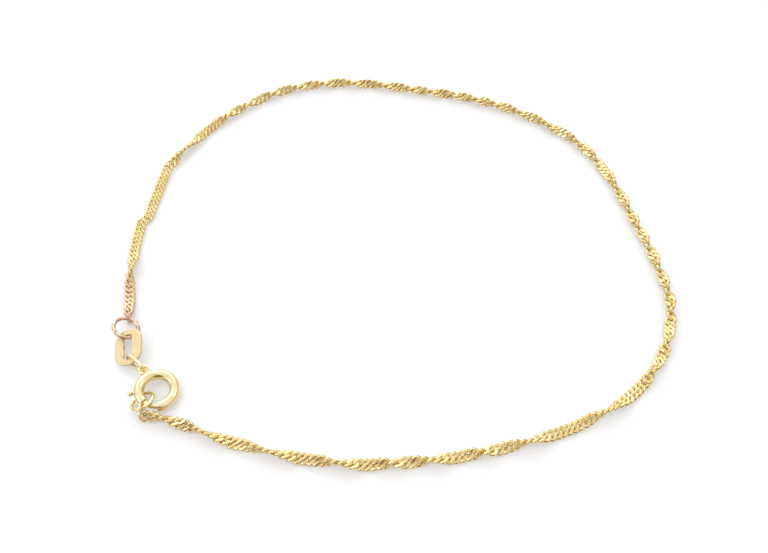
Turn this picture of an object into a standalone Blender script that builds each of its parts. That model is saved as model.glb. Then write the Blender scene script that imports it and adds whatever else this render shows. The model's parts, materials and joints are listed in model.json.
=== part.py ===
"""A chain bracelet with a spring-ring clasp, lying open on a table.

The chain is a fine twisted curb chain, held here as a tube of its width. At one end its last links thread a
jump ring, the slot of a flat tag link, an oval connector and the clasp's eyelet. At the other end they
thread the end ring, which is hooked over the clasp's tongue. +Z is up and the table is the plane z = 0.
"""

import math

import bpy
from mathutils import Matrix, Vector

MM = 0.001

# Chain
CHAIN_WIDTH = 1.44 * MM
CHAIN_POINT_SPACING = 2.1 * CHAIN_WIDTH
CHAIN_BEVEL_RESOLUTION = 2
CHAIN_END_GAP = 0.12 * MM
# The chain's middle line over the table in mm, from the jump ring round to the end ring, chosen by hand.
CHAIN_ROUTE_MM = [
    (-32.4, -9.5), (-32.9, -6.2), (-33.2, 0.5), (-32.2, 7.1), (-30.7, 13.7), (-27.0, 19.2),
    (-22.4, 23.9), (-16.7, 27.5), (-10.2, 29.1), (-3.6, 29.0), (3.0, 27.8), (9.6, 26.4),
    (15.9, 24.2), (21.7, 20.8), (26.5, 16.2), (29.4, 10.2), (31.1, 3.7), (32.6, -2.8),
    (33.2, -9.5), (31.1, -15.8), (26.8, -20.9), (21.0, -24.3), (14.7, -26.6), (8.2, -28.1),
    (1.6, -29.0), (-5.2, -29.2), (-11.8, -28.3), (-18.3, -26.7), (-23.4, -24.9), (-25.6, -24.15),
    (-27.0, -23.9),
]

# End links
LINK_LENGTH = 1.6 * MM
LINK_WIDTH = 1.16 * MM
LINK_WIRE = 0.32 * MM
LINK_PLAY = 0.08 * MM
JUMP_LINK_COUNT = 2
CLASP_LINK_COUNT = 3
HANGING_LINK_BEARING_DEG = -77.0
HANGING_LINK_DROP_DEG = 40.0

# Clasp: a hollow tube bent to a ring, tipped up where the end ring passes beneath it
CLASP_CENTRE = (-27.0 * MM, -20.83 * MM)
CLASP_OUTER = 5.0 * MM
CLASP_TIP_DEG = 9.0
CLASP_TIP_BEARING_DEG = 185.0
CASE_TUBE = 1.1 * MM
CASE_WALL = 0.19 * MM
MOUTH_FAR_DEG = 281.0
MOUTH_NEAR_DEG = 233.0
CASE_WALL_SECTORS = 13
SLOT_SECTORS = 2
CASE_STEP_DEG = 9.0

# Slot in the case's outer side, in which the peg slides
SLOT_WIDTH = 0.36 * MM
SLOT_CLOSED_END_DEG = 141.0

# Tongue and its thumb peg
TONGUE_CLEARANCE = 0.08 * MM
TONGUE_TIP_REACH_DEG = 7.0
TONGUE_TAIL_DEG = 180.0
TONGUE_SIDES = 12
PEG_DEG = 193.0
PEG_SHAFT = 0.24 * MM
PEG_KNOB = 0.62 * MM
PEG_KNOB_HEIGHT = 0.6 * MM
PEG_CLEARANCE = 0.07 * MM
# The knob's outline: share of its height, share of its width
PEG_KNOB_PROFILE = [(0.0, 0.72), (0.25, 1.0), (0.65, 1.0), (0.93, 0.6)]

# Eyelet soldered to the case
EYELET_DEG = 128.5
EYELET_WIRE = 0.32 * MM
EYELET_HOLE = 0.66 * MM
EYELET_SINK = 0.16 * MM

# Connector, a slim oval ring
CONNECTOR_WIRE = 0.38 * MM
CONNECTOR_INNER_LENGTH = 2.5 * MM
CONNECTOR_INNER_WIDTH = 0.8 * MM
CONNECTOR_BEARING_DEG = 142.0
CONNECTOR_LEAN_DEG = 70.0

# Tag link, a flat oval plate with a long slot
TAG_LENGTH = 4.6 * MM
TAG_WIDTH = 3.25 * MM
TAG_THICKNESS = 0.32 * MM
TAG_CORNER = 1.45 * MM
TAG_EDGE = 0.07 * MM
TAG_SLOT_LENGTH = 3.3 * MM
TAG_SLOT_WIDTH = 1.16 * MM
TAG_SLOT_CORNER = 0.36 * MM
TAG_SLOT_OFFSET = -0.1 * MM
TAG_TURN_DEG = 10.0
TAG_TILT_DEG = 14.0
TAG_RING_CLEARANCE = 0.14 * MM
TAG_CORNER_STEPS = 7

# Jump ring and end ring
JUMP_OUTER = 3.2 * MM
JUMP_WIRE = 0.4 * MM
JUMP_BEARING_DEG = 112.0
JUMP_LEAN_DEG = 27.0
JUMP_HOOK_DEG = -27.0
END_OUTER = 3.0 * MM
END_WIRE = 0.42 * MM
END_DEG = 224.0
END_HIGH_BEARING_DEG = -49.6
END_LEAN_DEG = 31.0
END_RISE = 0.057 * MM
END_HOOK_DEG = -24.0

# Facets
SHARP_EDGE_DEG = 40.0
CURVE_STEPS = 40
RING_STEPS = 30
CONNECTOR_STEPS = 10
WIRE_SIDES = 10
LINK_STEPS = 6
LINK_SIDES = 8

# Table clearance of what rests on it
TABLE_GAP = 0.01 * MM

GOLD = (0.83, 0.61, 0.27)
TARNISHED = (0.50, 0.27, 0.17)
POLISHED_ROUGHNESS = 0.25
SATIN_ROUGHNESS = 0.45
TARNISHED_ROUGHNESS = 0.4

CASE_RADIUS = CASE_TUBE / 2
CLASP_RADIUS = (CLASP_OUTER - CASE_TUBE) / 2
CASE_BORE_RADIUS = CASE_RADIUS - CASE_WALL
TONGUE_RADIUS = CASE_BORE_RADIUS - TONGUE_CLEARANCE


def direction(bearing_deg, rise_deg=0.0):
    """Unit vector at a bearing round +Z and a rise above the table."""
    bearing = math.radians(bearing_deg)
    rise = math.radians(rise_deg)
    return Vector((math.cos(bearing) * math.cos(rise), math.sin(bearing) * math.cos(rise), math.sin(rise)))


def frame_from(origin, x_axis, y_axis):
    """Matrix whose first two axes follow the two directions given."""
    x_axis = x_axis.normalized()
    z_axis = x_axis.cross(y_axis).normalized()
    y_axis = z_axis.cross(x_axis)
    return Matrix.Translation(origin) @ Matrix((x_axis, y_axis, z_axis)).transposed().to_4x4()


def metal(name, colour, roughness):
    """Principled metal of one colour."""
    material = bpy.data.materials.new(name)
    material.use_nodes = True
    shader = material.node_tree.nodes["Principled BSDF"]
    shader.inputs["Base Color"].default_value = (*colour, 1.0)
    shader.inputs["Metallic"].default_value = 1.0
    shader.inputs["Roughness"].default_value = roughness
    return material


def add_object(name, data, frame, material):
    """Puts a mesh or curve into the scene at a frame."""
    thing = bpy.data.objects.new(name, data)
    thing.matrix_world = frame
    data.materials.append(material)
    bpy.context.scene.collection.objects.link(thing)
    return thing


def mesh_from(name, points, faces):
    """Mesh of points and faces, shaded smooth with its sharp edges kept."""
    mesh = bpy.data.meshes.new(name)
    mesh.from_pydata(points, [], faces)
    mesh.update()
    mesh.shade_smooth()
    mesh.set_sharp_from_angle(angle=math.radians(SHARP_EDGE_DEG))
    return mesh


def swept_wire(name, path, radius, sides, closed):
    """Round wire along a flat path in the XY plane, closed on itself or capped at its ends."""
    count = len(path)
    points = []
    for index, place in enumerate(path):
        before = path[index - 1] if closed or index else place
        after = path[(index + 1) % count] if closed or index < count - 1 else place
        along = (after - before).normalized()
        outward = along.cross(Vector((0, 0, 1)))
        for side in range(sides):
            angle = math.tau * side / sides
            points.append(place + radius * (outward * math.cos(angle) + Vector((0, 0, math.sin(angle)))))
    faces = []
    for index in range(count if closed else count - 1):
        here = index * sides
        there = (index + 1) % count * sides
        for side in range(sides):
            turn = (side + 1) % sides
            faces.append((here + side, there + side, there + turn, here + turn))
    if not closed:
        faces.append(tuple(range(sides)))
        faces.append(tuple(reversed(range((count - 1) * sides, count * sides))))
    return mesh_from(name, points, faces)


def arc_path(radius, start_deg, end_deg, steps):
    """Points along an arc about the origin, both ends included."""
    angles = [math.radians(start_deg + (end_deg - start_deg) * step / steps) for step in range(steps + 1)]
    return [Vector((radius * math.cos(angle), radius * math.sin(angle), 0)) for angle in angles]


def oval_path(length, width, steps):
    """Closed path of two straights and two half circles, long in X."""
    radius = width / 2
    straight = Vector(((length - width) / 2, 0, 0))
    right = [point + straight for point in arc_path(radius, -90, 90, steps)]
    left = [point - straight for point in arc_path(radius, 90, 270, steps)]
    return right + left


def round_ring(name, outer, wire, frame, material):
    """Closed round ring of round wire, flat in its frame's XY plane."""
    path = arc_path((outer - wire) / 2, 0, 360, RING_STEPS)[:-1]
    return add_object(name, swept_wire(name, path, wire / 2, WIRE_SIDES, True), frame, material)


def oval_ring(name, outer_length, outer_width, wire, steps, sides, frame, material):
    """Closed oval ring of round wire, long in its frame's X."""
    path = oval_path(outer_length - wire, outer_width - wire, steps)
    return add_object(name, swept_wire(name, path, wire / 2, sides, True), frame, material)


def cut_or_join(target, other, operation):
    """Boolean between two objects, the other one kept as a hidden guide."""
    boolean = target.modifiers.new(other.name, "BOOLEAN")
    boolean.operation = operation
    boolean.object = other
    boolean.solver = "EXACT"
    other.hide_render = True
    other.display_type = "WIRE"


def clasp_frame():
    """The clasp's own frame: its axis along Z, tipped so that one side is up and the other on the table."""
    tip = math.radians(CLASP_TIP_DEG)
    toward = direction(CLASP_TIP_BEARING_DEG)
    tip_axis = toward.cross(Vector((0, 0, 1)))
    height = CLASP_RADIUS * math.sin(tip) + CASE_RADIUS + TABLE_GAP
    return Matrix.Translation((*CLASP_CENTRE, height)) @ Matrix.Rotation(tip, 4, tip_axis)


def wall_turns(radius):
    """Angles round the tube's section: across the slot, then on round the wall, for parallel slot sides."""
    slot_half = math.asin(SLOT_WIDTH / 2 / radius)
    slot_turns = [slot_half * (2 * sector / SLOT_SECTORS - 1) for sector in range(SLOT_SECTORS)]
    step = (math.tau - 2 * slot_half) / CASE_WALL_SECTORS
    return slot_turns + [slot_half + step * sector for sector in range(CASE_WALL_SECTORS)]


def case_mesh():
    """Hollow tube from the mouth's far side round to its near side, slotted along the last of its way."""
    slot_start = SLOT_CLOSED_END_DEG + 360
    plain_arc = slot_start - MOUTH_FAR_DEG
    slotted_arc = MOUTH_NEAR_DEG + 360 - slot_start
    plain_steps = round(plain_arc / CASE_STEP_DEG)
    slotted_steps = round(slotted_arc / CASE_STEP_DEG)
    stations = [MOUTH_FAR_DEG + plain_arc * step / plain_steps for step in range(plain_steps)]
    stations += [slot_start + slotted_arc * step / slotted_steps for step in range(slotted_steps + 1)]

    points = []
    for station in stations:
        outward = direction(station)
        for radius in (CASE_RADIUS, CASE_BORE_RADIUS):
            for turn in wall_turns(radius):
                reach = CLASP_RADIUS + radius * math.cos(turn)
                points.append(outward * reach + Vector((0, 0, radius * math.sin(turn))))

    sectors = CASE_WALL_SECTORS + SLOT_SECTORS
    cell_faces = {}
    for step in range(len(stations) - 1):
        for sector in range(sectors):
            if sector < SLOT_SECTORS and step >= plain_steps:
                continue
            following = (sector + 1) % sectors
            corner = {}
            for along in (0, 1):
                for layer in (0, 1):
                    base = (step + along) * 2 * sectors + layer * sectors
                    corner[along, layer, 0] = base + sector
                    corner[along, layer, 1] = base + following
            quads = (
                (corner[0, 0, 0], corner[1, 0, 0], corner[1, 0, 1], corner[0, 0, 1]),
                (corner[0, 1, 0], corner[0, 1, 1], corner[1, 1, 1], corner[1, 1, 0]),
                (corner[0, 0, 0], corner[0, 1, 0], corner[1, 1, 0], corner[1, 0, 0]),
                (corner[0, 0, 1], corner[1, 0, 1], corner[1, 1, 1], corner[0, 1, 1]),
                (corner[0, 0, 0], corner[0, 0, 1], corner[0, 1, 1], corner[0, 1, 0]),
                (corner[1, 0, 0], corner[1, 1, 0], corner[1, 1, 1], corner[1, 0, 1]),
            )
            for quad in quads:
                cell_faces.setdefault(frozenset(quad), []).append(quad)
    faces = [quads[0] for quads in cell_faces.values() if len(quads) == 1]
    return mesh_from("clasp_case", points, faces)


def eyelet_centre():
    """Middle of the eyelet's hole in the clasp's frame."""
    reach = CLASP_RADIUS + CASE_RADIUS - EYELET_SINK + EYELET_WIRE + EYELET_HOLE / 2
    return direction(EYELET_DEG) * reach


def build_case(frame, material):
    """Case with its eyelet soldered on."""
    case = add_object("clasp_case", case_mesh(), frame, material)
    eyelet_frame = frame @ Matrix.Translation(eyelet_centre())
    eyelet = round_ring("eyelet_guide", EYELET_HOLE + 2 * EYELET_WIRE, EYELET_WIRE, eyelet_frame, material)
    cut_or_join(case, eyelet, "UNION")


def peg_mesh():
    """Turned peg along X: a slim shaft from the tongue out through the slot, and a rounded knob."""
    start = CLASP_RADIUS
    knob = CLASP_RADIUS + CASE_RADIUS + PEG_CLEARANCE
    profile = [(start, PEG_SHAFT / 2), (knob, PEG_SHAFT / 2)]
    profile += [(knob + high * PEG_KNOB_HEIGHT, wide * PEG_KNOB / 2) for high, wide in PEG_KNOB_PROFILE]
    sides = TONGUE_SIDES
    points = []
    for along, radius in profile:
        for side in range(sides):
            angle = math.tau * side / sides
            points.append(Vector((along, radius * math.cos(angle), radius * math.sin(angle))))
    points.append(Vector((start, 0, 0)))
    points.append(Vector((knob + PEG_KNOB_HEIGHT, 0, 0)))
    inner, outer = len(points) - 2, len(points) - 1
    faces = []
    for row in range(len(profile) - 1):
        here, there = row * sides, (row + 1) * sides
        for side in range(sides):
            turn = (side + 1) % sides
            faces.append((here + side, here + turn, there + turn, there + side))
    last = (len(profile) - 1) * sides
    for side in range(sides):
        turn = (side + 1) % sides
        faces.append((inner, turn, side))
        faces.append((outer, last + side, last + turn))
    return mesh_from("peg_guide", points, faces)


def build_tongue(frame, material):
    """Tongue wire with its thumb peg, carried by an empty on the clasp's axis about which it slides."""
    axis = bpy.data.objects.new("tongue_axis", None)
    axis.matrix_world = frame
    bpy.context.scene.collection.objects.link(axis)
    tip = MOUTH_FAR_DEG + TONGUE_TIP_REACH_DEG
    steps = round((tip - TONGUE_TAIL_DEG) / CASE_STEP_DEG)
    path = arc_path(CLASP_RADIUS, TONGUE_TAIL_DEG, tip, steps)
    mesh = swept_wire("clasp_tongue", path, TONGUE_RADIUS, TONGUE_SIDES, False)
    tongue = add_object("clasp_tongue", mesh, Matrix.Identity(4), material)
    tongue.parent = axis
    peg = add_object("peg_guide", peg_mesh(), Matrix.Rotation(math.radians(PEG_DEG), 4, "Z"), material)
    peg.parent = axis
    cut_or_join(tongue, peg, "UNION")


def jump_height():
    """Height of the jump ring's middle, its low side on the table."""
    return (JUMP_OUTER - JUMP_WIRE) / 2 * math.sin(math.radians(JUMP_LEAN_DEG)) + JUMP_WIRE / 2 + TABLE_GAP


def tag_turn():
    """The tag's turn on the table and its tilt about its own length."""
    turn = Matrix.Rotation(math.radians(TAG_TURN_DEG), 4, "Z")
    return turn @ Matrix.Rotation(-math.radians(TAG_TILT_DEG), 4, "Y")


def slot_crossing(end, wire):
    """Where a ring's wire passes through the slot, near its far end (1) or near end (-1), in its frame."""
    return Vector((TAG_SLOT_OFFSET, end * (TAG_SLOT_LENGTH / 2 - wire / 2 - TAG_RING_CLEARANCE), 0))


def connector_frames(clasp):
    """Frames of the connector and of the tag that it carries, worked out from the clasp's eyelet."""
    hole = clasp @ eyelet_centre()
    crossing = slot_crossing(-1, CONNECTOR_WIRE)
    crossing_drop = (tag_turn() @ (crossing - slot_crossing(1, JUMP_WIRE))).z
    crossing_height = jump_height() + crossing_drop
    span = CONNECTOR_INNER_LENGTH + CONNECTOR_WIRE
    rise_deg = math.degrees(math.asin((crossing_height - hole.z) / span))
    along = direction(CONNECTOR_BEARING_DEG, rise_deg)
    centre = hole + along * span / 2
    lean = Matrix.Rotation(-math.radians(CONNECTOR_LEAN_DEG), 3, along)
    across = lean @ direction(CONNECTOR_BEARING_DEG + 90)
    connector = frame_from(centre, along, across)
    slot_place = hole + along * span
    tag_origin = slot_place - (tag_turn() @ crossing)
    return connector, Matrix.Translation(tag_origin) @ tag_turn()


def build_connector(frame, material):
    """Slim oval ring between the clasp's eyelet and the tag."""
    length = CONNECTOR_INNER_LENGTH + 2 * CONNECTOR_WIRE
    width = CONNECTOR_INNER_WIDTH + 2 * CONNECTOR_WIRE
    oval_ring("connector_ring", length, width, CONNECTOR_WIRE, CONNECTOR_STEPS, WIRE_SIDES, frame, material)


def rounded_outline(half_width, half_length, corner, height):
    """Rounded rectangle in a plane, the same number of points for any size."""
    points = []
    for across, along, start in ((1, 1, 0), (-1, 1, 90), (-1, -1, 180), (1, -1, 270)):
        middle = Vector((across * (half_width - corner), along * (half_length - corner), height))
        points += [middle + point for point in arc_path(corner, start, start + 90, TAG_CORNER_STEPS)]
    return points


def build_tag(frame, material):
    """Flat plate with rounded ends and one long slot, its edges eased."""
    half_width, half_length, half_thick = TAG_WIDTH / 2, TAG_LENGTH / 2, TAG_THICKNESS / 2
    slot_half, slot_long, ease = TAG_SLOT_WIDTH / 2, TAG_SLOT_LENGTH / 2, TAG_EDGE
    shift = Vector((TAG_SLOT_OFFSET, 0, 0))

    def outer(inset, height):
        return rounded_outline(half_width - inset, half_length - inset, TAG_CORNER - inset, height)

    def slot(outset, height):
        radius = slot_half + outset
        outline = rounded_outline(radius, slot_long + outset, TAG_SLOT_CORNER + outset, height)
        return [point + shift for point in outline]

    loops = [
        outer(ease, -half_thick), outer(0, ease - half_thick),
        outer(0, half_thick - ease), outer(ease, half_thick),
        slot(ease, half_thick), slot(0, half_thick - ease),
        slot(0, ease - half_thick), slot(ease, -half_thick),
    ]
    count = len(loops[0])
    points = [point for loop in loops for point in loop]
    faces = []
    for row in range(len(loops)):
        here, there = row * count, (row + 1) % len(loops) * count
        for index in range(count):
            turn = (index + 1) % count
            faces.append((here + index, here + turn, there + turn, there + index))
    add_object("tag_link", mesh_from("tag_link", points, faces), frame, material)


def jump_ring_frame(tag):
    """Jump ring through the far end of the tag's slot, leaning so that one side passes beneath the tag."""
    radius = (JUMP_OUTER - JUMP_WIRE) / 2
    along = direction(JUMP_BEARING_DEG)
    across = direction(JUMP_BEARING_DEG + 90, JUMP_LEAN_DEG)
    crossing = tag @ slot_crossing(1, JUMP_WIRE)
    return frame_from(crossing + along * radius, along, across)


def end_ring_frame(clasp):
    """End ring over the tongue on one side and beneath the case on the other, highest on its chain side."""
    middle = clasp.translation + direction(END_DEG) * CLASP_RADIUS
    middle.z += END_RISE
    high = direction(END_HIGH_BEARING_DEG, END_LEAN_DEG)
    return frame_from(middle, high, direction(END_HIGH_BEARING_DEG + 90))


def smooth_curve(points):
    """Dense points on a centripetal Catmull-Rom curve through the points."""
    points = [2 * points[0] - points[1], *points, 2 * points[-1] - points[-2]]
    dense = []
    for index in range(1, len(points) - 2):
        a, b, c, d = points[index - 1:index + 3]
        knots = [0.0]
        for first, second in ((a, b), (b, c), (c, d)):
            knots.append(knots[-1] + math.sqrt((second - first).length))
        t0, t1, t2, t3 = knots
        for step in range(CURVE_STEPS):
            t = t1 + (t2 - t1) * step / CURVE_STEPS
            ab = a.lerp(b, (t - t0) / (t1 - t0))
            bc = b.lerp(c, (t - t1) / (t2 - t1))
            cd = c.lerp(d, (t - t2) / (t3 - t2))
            abc = ab.lerp(bc, (t - t0) / (t2 - t0))
            bcd = bc.lerp(cd, (t - t1) / (t3 - t1))
            dense.append(abc.lerp(bcd, (t - t1) / (t2 - t1)))
    dense.append(points[-2])
    return dense


def distances_along(dense):
    """Length of the curve up to each of its points."""
    lengths = [0.0]
    for before, after in zip(dense, dense[1:]):
        lengths.append(lengths[-1] + (after - before).length)
    return lengths


def point_at(dense, lengths, distance):
    """The curve's point at a distance along it."""
    for index in range(1, len(dense)):
        if lengths[index] >= distance:
            share = (distance - lengths[index - 1]) / (lengths[index] - lengths[index - 1])
            return dense[index - 1].lerp(dense[index], share)
    return dense[-1]


def link_distances(held_wire, count):
    """Distances from the wire that the first link holds: each link's middle, and where the last one ends."""
    inner_half = LINK_LENGTH / 2 - LINK_WIRE
    first = inner_half - held_wire / 2 - LINK_PLAY
    pitch = LINK_LENGTH - 2 * LINK_WIRE - LINK_PLAY
    middles = [first + pitch * index for index in range(count)]
    return middles, middles[-1] + LINK_LENGTH / 2


def end_link(name, frame, material):
    """One end link, flat in its frame's XY plane."""
    return oval_ring(name, LINK_LENGTH, LINK_WIDTH, LINK_WIRE, LINK_STEPS, LINK_SIDES, frame, material)


def build_hanging_link(hook, wire_run, material):
    """First link at the clasp, hung from the end ring's wire. Returns its lower wire and that wire's run."""
    hang = direction(HANGING_LINK_BEARING_DEG, -HANGING_LINK_DROP_DEG)
    offset = LINK_LENGTH / 2 - LINK_WIRE - END_WIRE / 2 - LINK_PLAY
    frame = frame_from(hook + hang * offset, hang, wire_run.cross(hang))
    end_link("clasp_end_link_1", frame, material)
    return frame @ Vector(((LINK_LENGTH - LINK_WIRE) / 2, 0, 0)), frame.to_3x3() @ Vector((0, 1, 0))


def build_end_links(names, dense, lengths, held_wire, first_normal, material, from_start):
    """End links threaded from a held wire towards the chain, each turned a quarter from the last."""
    count = len(names)
    middles, reach = link_distances(held_wire, count)
    total = lengths[-1]
    for index, middle in enumerate(middles):
        ends = [middle - LINK_LENGTH / 3, middle, middle + LINK_LENGTH / 3]
        if not from_start:
            ends = [total - distance for distance in ends]
        near, centre, far = (point_at(dense, lengths, max(0.0, min(total, distance))) for distance in ends)
        along = (far - near).normalized()
        normal = (first_normal - along * first_normal.dot(along)).normalized()
        across = normal.cross(along)
        if index % 2:
            across = normal
        frame = frame_from(centre, along, across)
        name = names[index]
        end_link(name, frame, material)
    return reach


def build_chain(dense, lengths, start, end, material):
    """Tube of the chain's width between the end links."""
    curve = bpy.data.curves.new("chain", "CURVE")
    curve.dimensions = "3D"
    curve.bevel_depth = CHAIN_WIDTH / 2
    curve.bevel_resolution = CHAIN_BEVEL_RESOLUTION
    curve.use_fill_caps = True
    steps = round((end - start) / CHAIN_POINT_SPACING)
    spline = curve.splines.new("POLY")
    spline.points.add(steps)
    for index, point in enumerate(spline.points):
        place = point_at(dense, lengths, start + (end - start) * index / steps)
        point.co = (place.x, place.y, max(place.z, CHAIN_WIDTH / 2 + TABLE_GAP), 1)
    spline.use_smooth = True
    add_object("chain", curve, Matrix.Identity(4), material)


def build_bracelet():
    """The whole bracelet, from the clasp outwards."""
    gold = metal("gold", GOLD, POLISHED_ROUGHNESS)
    satin = metal("satin_gold", GOLD, SATIN_ROUGHNESS)
    tarnished = metal("tarnished_gold", TARNISHED, TARNISHED_ROUGHNESS)

    clasp = clasp_frame()
    build_case(clasp, gold)
    build_tongue(clasp, gold)

    connector, tag = connector_frames(clasp)
    build_connector(connector, gold)
    build_tag(tag, satin)

    jump = jump_ring_frame(tag)
    round_ring("jump_ring", JUMP_OUTER, JUMP_WIRE, jump, tarnished)
    end_ring = end_ring_frame(clasp)
    round_ring("end_ring", END_OUTER, END_WIRE, end_ring, gold)

    jump_turn = jump @ Matrix.Rotation(math.radians(JUMP_HOOK_DEG), 4, "Z")
    jump_hook = jump_turn @ Vector(((JUMP_OUTER - JUMP_WIRE) / 2, 0, 0))
    end_turn = end_ring @ Matrix.Rotation(math.radians(END_HOOK_DEG), 4, "Z")
    end_hook = end_turn @ Vector(((END_OUTER - END_WIRE) / 2, 0, 0))
    along_y = Vector((0, 1, 0))
    clasp_hook, clasp_run = build_hanging_link(end_hook, end_turn.to_3x3() @ along_y, gold)
    route = [Vector((x * MM, y * MM, CHAIN_WIDTH / 2 + TABLE_GAP)) for x, y in CHAIN_ROUTE_MM]
    dense = smooth_curve([jump_hook, *route, clasp_hook])
    lengths = distances_along(dense)
    jump_run = jump_turn.to_3x3() @ along_y
    jump_names = [f"jump_end_link_{number + 1}" for number in range(JUMP_LINK_COUNT)]
    clasp_names = [f"clasp_end_link_{number + 2}" for number in range(CLASP_LINK_COUNT)]
    start = build_end_links(jump_names, dense, lengths, JUMP_WIRE, jump_run, tarnished, True)
    end = build_end_links(clasp_names, dense, lengths, LINK_WIRE, clasp_run, gold, False)
    build_chain(dense, lengths, start + CHAIN_END_GAP, lengths[-1] - end - CHAIN_END_GAP, gold)


for thing in list(bpy.data.objects):
    bpy.data.objects.remove(thing, do_unlink=True)
build_bracelet()
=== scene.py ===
"""Looks of the chain bracelet: its pieces in fine mesh, their finish, the floor, the light and the camera."""

import json
import math

import bmesh
import bpy
import numpy as np
from mathutils import Matrix, Vector

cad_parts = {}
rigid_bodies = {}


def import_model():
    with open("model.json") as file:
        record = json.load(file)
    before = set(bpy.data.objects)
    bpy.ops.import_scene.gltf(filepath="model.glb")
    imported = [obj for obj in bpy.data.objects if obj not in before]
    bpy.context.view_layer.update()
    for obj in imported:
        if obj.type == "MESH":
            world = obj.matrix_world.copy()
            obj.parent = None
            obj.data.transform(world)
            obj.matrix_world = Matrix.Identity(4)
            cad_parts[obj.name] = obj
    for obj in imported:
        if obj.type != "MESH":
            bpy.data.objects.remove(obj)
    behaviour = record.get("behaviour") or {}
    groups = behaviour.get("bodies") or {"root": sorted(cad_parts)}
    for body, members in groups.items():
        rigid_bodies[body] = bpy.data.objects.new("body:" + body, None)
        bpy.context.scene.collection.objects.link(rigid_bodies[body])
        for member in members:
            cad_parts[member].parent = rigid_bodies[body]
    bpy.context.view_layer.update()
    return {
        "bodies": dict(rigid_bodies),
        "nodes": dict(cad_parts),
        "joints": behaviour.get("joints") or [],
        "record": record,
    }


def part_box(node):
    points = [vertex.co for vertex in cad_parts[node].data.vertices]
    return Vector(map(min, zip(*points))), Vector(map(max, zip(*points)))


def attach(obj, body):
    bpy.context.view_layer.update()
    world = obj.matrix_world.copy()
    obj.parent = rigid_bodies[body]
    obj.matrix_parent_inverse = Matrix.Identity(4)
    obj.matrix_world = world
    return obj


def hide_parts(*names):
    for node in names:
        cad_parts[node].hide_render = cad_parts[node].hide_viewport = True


MM = 0.001
MERGE_DISTANCE = 1e-8
UP = np.array([0, 0, 1.0])

# Camera, at the photograph's place over the table
CAMERA_PLACE = Vector((-1.5, -54.05, 75.5)) * MM
CAMERA_DOWN_DEG = 57.0
CAMERA_NEAREST = 5 * MM
SENSOR = 36.0
LENS = 33.66

# Chain links: a squarish wire loop, wound about the chain's line and pressed into the ribbon's thickness
LINK_LENGTH = 1.50 * MM
LINK_WIDTH = 1.42 * MM
LINK_WIRE = 0.42 * MM
LINK_PITCH = 0.68 * MM
LINK_TWIST_DEG = -45.0
LINK_YIELD = 0.35
LINK_SQUARENESS = 1.7
FACE_HALF_THICKNESS = 0.21 * MM
FACE_SOFTNESS = 0.4
WIRE_MIDDLE_LIMIT = 0.11 * MM
PATH_STEPS = 28
WIRE_SIDES = 12
FIRST_LINK_AT = 0.80 * MM
LAST_LINK_BACK = 0.16 * MM
TABLE_GAP = 0.02 * MM

# The chain's middle line over the table in mm, as in the part's source
CHAIN_ROUTE_MM = [
    (-32.4, -9.5), (-32.9, -6.2), (-33.2, 0.5), (-32.2, 7.1), (-30.7, 13.7), (-27.0, 19.2),
    (-22.4, 23.9), (-16.7, 27.5), (-10.2, 29.1), (-3.6, 29.0), (3.0, 27.8), (9.6, 26.4),
    (15.9, 24.2), (21.7, 20.8), (26.5, 16.2), (29.4, 10.2), (31.1, 3.7), (32.6, -2.8),
    (33.2, -9.5), (31.1, -15.8), (26.8, -20.9), (21.0, -24.3), (14.7, -26.6), (8.2, -28.1),
    (1.6, -29.0), (-5.2, -29.2), (-11.8, -28.3), (-18.3, -26.7), (-23.4, -24.9), (-25.6, -24.15),
    (-27.0, -23.9),
]
CHAIN_ROUTE_HEIGHT = 0.73 * MM
CURVE_STEPS = 40
LINE_SAMPLES = 4000
REST_WINDOW = 0.9 * MM
END_EASE = 2.5 * MM

# The ribbon's half turns in mm: where along the chain it stands on edge, how far from there it lies flat
HALF_TURNS = [
    (-0.1, 1.5), (6.8, 2.4), (28.0, 3.4), (36.2, 1.8), (39.6, 1.8), (43.9, 1.3), (47.7, 1.8),
    (51.6, 1.8), (56.0, 1.8), (60.7, 1.8), (64.8, 1.6), (67.8, 1.6), (71.5, 1.2), (74.7, 1.6),
    (77.6, 1.6), (81.3, 1.8), (85.8, 2.2), (91.0, 1.9), (94.8, 1.2), (100.2, 2.0), (104.2, 1.6),
    (107.2, 1.3), (110.2, 1.3), (113.8, 1.7), (117.0, 1.3), (120.0, 1.3), (124.4, 1.3), (128.8, 1.5),
    (136.6, 3.0), (146.4, 2.6), (151.6, 1.3), (157.3, 2.2), (161.4, 1.2), (167.2, 2.6), (174.8, 3.2),
    (182.4, 3.2), (187.4, 2.2), (193.4, 3.0),
]
LEAST_FLAT = 0.01
# A half turn with more than the short reach dwells nearly on edge, for this share of the rest each way
SHORT_REACH = 1.4
EDGE_DWELL = 0.6
FULL_DWELL = 0.4
LEAST_DWELL = 1e-6
EDGE_DWELL_ROLL = math.radians(18)

# Places where the ribbon steps aside: mm along the chain, mm of the step, mm over which it eases back
SIDE_STEPS = [(14.9, 0.8, 3.0), (24.6, 0.5, 2.5)]
SIDE_STEP_RUN = 0.32 * MM

# End links, as in the part's source
END_LINK_LENGTH = 1.6 * MM
END_LINK_WIDTH = 1.16 * MM
END_LINK_WIRE = 0.32 * MM
HANGING_LINK_BEARING_DEG = -77.0
HANGING_LINK_DROP_DEG = 40.0

# Rings, as in the part's source, but the jump ring's wire is a touch thicker, within its clearance
JUMP_RADIUS = 1.4 * MM
JUMP_WIRE = 0.45 * MM
JUMP_BEARING_DEG = 112.0
JUMP_LEAN_DEG = 27.0
JUMP_HOOK_DEG = -27.0
END_RADIUS = 1.29 * MM
END_WIRE = 0.42 * MM
END_BEARING_DEG = -49.6
END_LEAN_DEG = 31.0
END_HOOK_DEG = -24.0
RING_STEPS = 96
RING_SIDES = 20

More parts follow.
